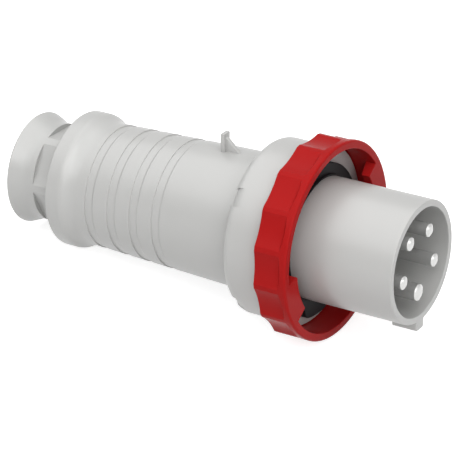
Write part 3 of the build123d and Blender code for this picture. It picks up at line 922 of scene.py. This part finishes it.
def extrudedPiece(name, outline, halfWidth, bevel, basis=np.eye(3), middle=(0, 0, 0)):
    # a flat outline in the x, z plane given a width along y, with its edges bevelled;
    # the rows of basis say where its x, y and z point, and middle where its origin goes
    outline = np.asarray(outline, float)
    count = len(outline)
    left = np.stack([outline[:, 0], np.full(count, -halfWidth), outline[:, 1]], -1)
    points = np.concatenate([left, left * [1, -1, 1]]) @ np.asarray(basis, float) + middle
    sides = [(i, (i + 1) % count, (i + 1) % count + count, i + count) for i in range(count)]
    ends = [range(count)[::-1], range(count, 2 * count)]
    return smooth(addMesh(name, points, sides + ends, bevel), sharpAngle=50)


def makeLug():
    g = lug
    plateFront = g["rear"] + g["plate"]
    foot = gripRadius(g["rear"]) - g["sink"]
    plate = extrudedPiece(
        "lugPlate",
        [(g["rear"], foot), (plateFront, foot), (plateFront, g["top"]), (g["rear"], g["top"])],
        g["width"] / 2,
        g["edge"],
    )
    # the web's back slopes down straight to the grip
    toe = plateFront + g["webLength"]
    shoulder = g["top"] - g["webDrop"]
    start = plateFront - g["webSink"]
    outline = [(start, foot), (start, shoulder), (plateFront, shoulder)]
    outline += [(toe, gripRadius(toe) - g["toeSink"]), (toe, foot)]
    web = extrudedPiece("lugWeb", outline, g["web"] / 2, g["webEdge"])
    return plate, web


handleInside = dict(
    screwCircle=25.5,
    screwAngles=(18.0, 162.0),
    bossFront=-16.0,
    bossRear=-56.0,
    bossRadius=5.2,
    bossFloor=6.0,
    insertBore=3.65,
    insertLength=12.0,
    screwBore=2.6,
    web=3.0,
    webFront=-34.8,
    sink=1.0,
    clampX=-92.0,
    clampWidth=12.0,
    clampSink=0.6,
    cordRadius=14.0,
    postY=21.6,
    postRadius=4.6,
    postTop=-2.0,
    rib=4.0,
    ribTop=-6.0,
    edge=0.2,
)


def makeBosses():
    # a boss for each housing screw, with a web that holds it to the grip's wall
    g = handleInside
    corners = [
        (g["bossRear"] + g["bossFloor"], 0.0, 0),
        (g["bossRear"] + g["bossFloor"], g["screwBore"], 0),
        (g["bossFront"] - g["insertLength"], g["screwBore"], 0),
        (g["bossFront"] - g["insertLength"], g["insertBore"], 0),
        (g["bossFront"], g["insertBore"], 0),
        (g["bossFront"], g["bossRadius"], g["edge"]),
        (g["bossRear"], g["bossRadius"], g["edge"]),
        (g["bossRear"], 0.0, 0),
    ]
    outline = roundedOutline(corners, closed=False)
    wall = gripRadius(g["webFront"]) - handle["wall"] + g["sink"]
    # the web starts halfway through the boss's wall, clear of the screw's bore
    low = g["screwCircle"] + (g["screwBore"] + g["bossRadius"]) / 2
    side = [(g["bossRear"], low), (g["webFront"], low), (g["webFront"], wall), (g["bossRear"], wall)]
    pieces = []
    for name, angle in zip(("Right", "Left"), g["screwAngles"]):
        y = math.cos(math.radians(angle))
        z = math.sin(math.radians(angle))
        grid = turnedGrid(outline, evenAngles(48), g["screwCircle"] * y, g["screwCircle"] * z)
        pieces.append(gridMesh("boss" + name, grid, sharpAngle=40, closeRows=False))
        basis = [(1, 0, 0), (0, z, -y), (0, y, z)]
        pieces.append(extrudedPiece("bossWeb" + name, side, g["web"] / 2, g["edge"], basis))
    return pieces


def makeClampSeat():
    # two posts and a cradle rib on the grip's floor carry the cord under its clamp
    g = handleInside
    wall = gripRadius(g["clampX"] - g["clampWidth"] / 2) - handle["wall"] + g["clampSink"]
    across = [(0, 1, 0), (-1, 0, 0), (0, 0, 1)]
    middle = (g["clampX"], 0, 0)
    half = g["clampWidth"] / 2
    pieces = []
    for name, turn in (("Right", 1), ("Left", -1)):
        y = turn * (g["postY"] + g["postRadius"] * np.linspace(-1, 1, 9))
        foot = np.stack([y, -np.sqrt(wall**2 - y**2)], -1)
        outline = np.concatenate([foot, [(y[-1], g["postTop"]), (y[0], g["postTop"])]])
        pieces.append(extrudedPiece("clampPost" + name, outline, half, g["edge"], across, middle))
    # the rib ends a little way inside the posts, clear of their screws
    end = g["postY"] - g["postRadius"] + g["sink"]
    y = np.linspace(-end, end, 25)
    foot = np.stack([y, -np.sqrt(wall**2 - y**2)], -1)
    reach = math.sqrt(g["cordRadius"] ** 2 - g["ribTop"] ** 2)
    y = np.linspace(reach, -reach, 19)
    cradle = np.stack([y, -np.sqrt(g["cordRadius"] ** 2 - y**2)], -1)
    outline = np.concatenate([foot, [(end, g["ribTop"])], cradle, [(-end, g["ribTop"])]])
    pieces.append(extrudedPiece("clampRib", outline, g["rib"] / 2, g["edge"], across, middle))
    return pieces


for piece in [*makeLug(), *makeBosses(), *makeClampSeat()]:
    finishPiece(piece, "plug_body", "bodyGrey")
print("handle made")


# Gland nut

nut = dict(
    rear=-191.0,
    rimRadius=33.2,
    rimRound=0.7,
    neckRadius=28.9,
    slope=0.43,
    blend=20.0,
    hexRear=-175.2,
    hexFront=-162.0,
    acrossFlats=52.2,
    noseRadius=24.6,
    nose=-147.3,
    boreRadius=18.5,
    mouthRadius=29.3,
    boreLength=22.0,
    boreRow=0.5,
    noseRow=1.2,
    rimRow=0.5,
    rimReach=0.9,
)


def makeGlandNut():
    n = nut
    apothem = n["acrossFlats"] / 2
    cornerAngle = math.degrees(math.acos(apothem / n["neckRadius"]))
    # three columns where each flat meets a rounded corner
    crease = np.array([-0.3, 0.0, 0.3])
    extra = []
    for flat in 30.0 + 60.0 * np.arange(6):
        for side in (-1, 1):
            extra.extend(flat + side * (cornerAngle + crease))
    angles = evenAngles(240, extra)
    toFlat = np.radians(angles % 60.0 - 30.0)
    hexRadius = np.minimum(apothem / np.cos(toFlat), n["neckRadius"])

    cone = (n["rimRadius"] - n["neckRadius"]) / n["slope"]
    mouthRise = n["mouthRadius"] - n["boreRadius"]
    mouthCurve = (n["boreLength"] ** 2 + mouthRise**2) / (2 * mouthRise)
    # inside, from the nose to the mouth: straight bore, then an arc that opens to the rim
    dx = np.linspace(0, n["boreLength"], 20)
    boreEnd = n["rear"] + n["boreLength"]
    mouthR = n["boreRadius"] + mouthCurve - np.sqrt(mouthCurve**2 - dx**2)
    mouth = np.stack([boreEnd - dx, mouthR], -1)
    corners = [
        (n["rear"], n["mouthRadius"] + n["rimRow"], 0),
        (n["rear"], n["rimRadius"], n["rimRound"]),
        (n["rear"] + cone, n["neckRadius"], n["blend"]),
        (n["hexRear"] - seamGap, n["neckRadius"], 0),
    ]
    outside = roundedOutline(corners, arcSteps=14, closed=False)
    corners = [
        (mouth[-2, 0], mouth[-2, 1], 0),
        (n["rear"], n["mouthRadius"], n["rimRound"]),
        (n["rear"], n["mouthRadius"] + n["rimReach"], 0),
    ]
    rim = roundedOutline(corners, closed=False)
    corners = [
        (n["hexFront"], n["noseRadius"] + n["noseRow"], 0),
        (n["hexFront"], n["noseRadius"], 0.2),
        (n["nose"], n["noseRadius"], 0.6),
        (n["nose"], n["boreRadius"], 0.5),
        (boreEnd + n["boreRow"], n["boreRadius"], 0),
    ]
    nose = roundedOutline(corners, arcSteps=4, closed=False)
    # the hexagon's front edge is eased off: distance behind it and inset of each row
    hexLength = n["hexFront"] - n["hexRear"]
    back = np.array([hexLength, hexLength - support, 0.9, 0.5, 0.15, 0.0])[:, None]
    inset = np.array([0.0, 0.0, 0.0, 0.12, 0.42, 0.8])[:, None]
    a = np.radians(angles)[None, :]
    hexRows = polar(n["hexFront"] - back + 0 * a, hexRadius - inset, a + 0 * back)
    parts = [turnedGrid(outline, angles) for outline in (outside, nose, mouth[:-2], rim[1:-1])]
    parts.insert(1, hexRows)
    return gridMesh("glandNut", np.concatenate(parts), sharpAngle=16)


finishPiece(makeGlandNut(), "gland_nut_body", "bodyGrey", ["gland_nut"])
print("gland nut made")


# Pins

pins = dict(
    circleRadius=18.54,
    tip=64.6,
    tipRound=0.9,
    domeHeight=0.8,
    drillPoint=2.0,
    shankStep=0.6,
    shankFront=7.5,
    lineRadius=4.0,
    earthRadius=5.0,
    collarRadius=8.0,
    collarRear=-16.0,
    collar=3.0,
    terminalRadius=6.6,
    terminalRear=-48.0,
    wireBore=3.7,
    wireDepth=22.0,
    # the domed tip's two rings: share of its height below the tip, share of the radius, rounding
    domeRings=((0.3, 0.62, 2.0), (0.0, 0.2, 1.0)),
    places={
        "pin_earth": ("pinEarth", -90.0),
        "pin_line_1": ("pinLine1", 198.0),
        "pin_line_2": ("pinLine2", 126.0),
        "pin_line_3": ("pinLine3", 54.0),
        "pin_neutral": ("pinNeutral", -18.0),
    },
)


def makePin(name, angle, radius):
    # profile turned about the pin's own line: wire bore, terminal, collar, shaft and domed tip
    p = pins
    dome = [(p["tip"] - drop * p["domeHeight"], share * radius, ease) for drop, share, ease in p["domeRings"]]
    corners = [
        (p["terminalRear"] + p["wireDepth"] + p["drillPoint"], 0.0, 0),
        (p["terminalRear"] + p["wireDepth"], p["wireBore"], 0.3),
        (p["terminalRear"], p["wireBore"], 0.4),
        (p["terminalRear"], p["terminalRadius"], 0.6),
        (p["collarRear"], p["terminalRadius"], 0.2),
        (p["collarRear"], p["collarRadius"], 0.3),
        (p["collarRear"] + p["collar"], p["collarRadius"], 0.3),
        (p["collarRear"] + p["collar"], radius + p["shankStep"], 0.3),
        (p["shankFront"], radius + p["shankStep"], 0.2),
        (p["shankFront"], radius, 0.1),
        (p["tip"] - p["domeHeight"], radius, p["tipRound"]),
        *dome,
        (p["tip"], 0.0, 0),
    ]
    outline = roundedOutline(corners, arcSteps=6, closed=False)
    y = p["circleRadius"] * math.cos(math.radians(angle))
    z = p["circleRadius"] * math.sin(math.radians(angle))
    return gridMesh(name, turnedGrid(outline, evenAngles(64), y, z), sharpAngle=40, closeRows=False)


for node, (name, angle) in pins["places"].items():
    radius = pins["earthRadius"] if node == "pin_earth" else pins["lineRadius"]
    finishPiece(makePin(name, angle, radius), "plug_body", "pinMetal", [node])
print("pins made")


# CAD nodes that stay as they are

keptNodes = {
    "blackRubber": ["housing_seal", "gland_seal"],
    "insertGrey": ["contact_carrier", "carrier_plate", "cord_clamp", "gland_thrust_ring"],
    "brass": ["boss_inserts"],
    "screwSteel": [
        "carrier_plate_screw",
        "housing_screw_right",
        "housing_screw_left",
        "cord_clamp_screw_left",
        "cord_clamp_screw_right",
        "clamp_screws_earth",
        "clamp_screws_line_1",
        "clamp_screws_line_2",
        "clamp_screws_line_3",
        "clamp_screws_neutral",
    ],
}
for material, names in keptNodes.items():
    for node in names:
        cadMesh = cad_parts[node].data
        cadMesh.materials.clear()
        cadMesh.materials.append(materials[material])
print("kept nodes finished:", sum(len(names) for names in keptNodes.values()))


# Floor, world and lights

stage = dict(
    frontTouch=(1.0, -57.7),
    rearTouch=(-155.0, -40.0),
    size=3000.0,
    floorGlow=0.8,
    floorColour=(0.62, 0.62, 0.62, 1),
    worldStrength=0.15,
)


def seenRays(tree):
    # 1 for camera, mirror and glass rays and 0 for the rays that light the object
    path = tree.nodes.new("ShaderNodeLightPath").outputs
    seen = mathNode(tree, "MAXIMUM", path["Is Camera Ray"], path["Is Glossy Ray"])
    return mathNode(tree, "MAXIMUM", seen, path["Is Transmission Ray"])


def whiteForCamera(name, colour, glow):
    # a diffuse floor that adds light only for the camera and for mirror and glass rays,
    # so it looks white while the object's shadow stays on it
    material = bpy.data.materials.new(name)
    material.use_nodes = True
    nodes = material.node_tree.nodes
    links = material.node_tree.links
    nodes.clear()
    output = nodes.new("ShaderNodeOutputMaterial")
    diffuse = nodes.new("ShaderNodeBsdfDiffuse")
    diffuse.inputs["Color"].default_value = colour
    light = nodes.new("ShaderNodeEmission")
    strength = mathNode(material.node_tree, "MULTIPLY", seenRays(material.node_tree), glow)
    links.new(strength, light.inputs["Strength"])
    both = nodes.new("ShaderNodeAddShader")
    links.new(diffuse.outputs[0], both.inputs[0])
    links.new(light.outputs[0], both.inputs[1])
    links.new(both.outputs[0], output.inputs["Surface"])
    return material


def makeFloor():
    # the plane that the ring and the handle's rear shoulder rest on
    s = stage
    frontX, frontZ = s["frontTouch"]
    rearX, rearZ = s["rearTouch"]
    rise = (rearZ - frontZ) / (rearX - frontX)
    half = s["size"]
    square = ((-half, -half), (half, -half), (half, half), (-half, half))
    corners = [(x * mm, y * mm, (frontZ + rise * (x - frontX)) * mm) for x, y in square]
    mesh = bpy.data.meshes.new("floor")
    mesh.from_pydata(corners, [], [(0, 1, 2, 3)])
    mesh.materials.append(whiteForCamera("floorWhite", s["floorColour"], s["floorGlow"]))
    addObject("floor", mesh)


def makeWorld():
    world = bpy.data.worlds.new("studio")
    bpy.context.scene.world = world
    world.use_nodes = True
    nodes = world.node_tree.nodes
    links = world.node_tree.links
    nodes.clear()
    output = nodes.new("ShaderNodeOutputWorld")
    mixed = nodes.new("ShaderNodeMixShader")
    links.new(seenRays(world.node_tree), mixed.inputs[0])
    # the first background lights the object, the second is the white that is seen
    for socket, strength in zip(mixed.inputs[1:], (stage["worldStrength"], 1.0)):
        background = nodes.new("ShaderNodeBackground")
        background.inputs["Color"].default_value = (1, 1, 1, 1)
        background.inputs["Strength"].default_value = strength
        links.new(background.outputs[0], socket)
    links.new(mixed.outputs[0], output.inputs["Surface"])


lamps = {
    "overheadSoftbox": dict(place=(-0.20, -0.64, 1.0), aim=(-0.20, -0.64, 0), size=(1.7, 2.56), power=18.9),
    "frontPanel": dict(place=(1.3, -1.13, 1.02), aim=(-0.05, 0, 0), size=(2.2, 2.2), power=30.0),
    "sparkCard": dict(place=(1.15, 0.50, -0.02), aim=(0.06, 0, 0), size=(0.22, 0.22), power=0.7),
}


def unit(vector):
    return vector / np.linalg.norm(vector)


def putAt(obj, place, right, back):
    # lamps and cameras look along minus back, with right on their right-hand side
    up = np.cross(back, right)
    rows = [[right[i], up[i], back[i], place[i]] for i in range(3)]
    obj.matrix_world = Matrix(rows + [[0, 0, 0, 1]])


def makeLamps():
    for name, values in lamps.items():
        light = bpy.data.lights.new(name, "AREA")
        light.shape = "RECTANGLE"
        light.size, light.size_y = values["size"]
        light.energy = values["power"]
        back = unit(np.subtract(values["place"], values["aim"]))
        # the first size runs across Y, the second as near to Y as the aim allows
        right = unit(np.cross([0, 1, 0], back))
        putAt(addObject(name, light), values["place"], right, back)


makeFloor()
makeWorld()
makeLamps()
print("stage lit")


# Camera

view = dict(
    place=(0.784066, -1.364680, 0.714929),
    right=(0.851534, 0.524299, 0.000811),
    forward=(-0.477166, 0.775622, -0.413186),
    focal=236.618,
)


def makeCamera():
    forward = unit(view["forward"])
    right = np.array(view["right"])
    right = unit(right - forward * (right @ forward))
    data = bpy.data.cameras.new("camera")
    data.lens = view["focal"]
    data.sensor_width = 36.0
    data.clip_start = 0.05
    data.clip_end = 20.0
    camera = addObject("camera", data)
    putAt(camera, view["place"], right, -forward)
    bpy.context.scene.camera = camera


makeCamera()
bpy.context.scene.view_settings.view_transform = "Standard"
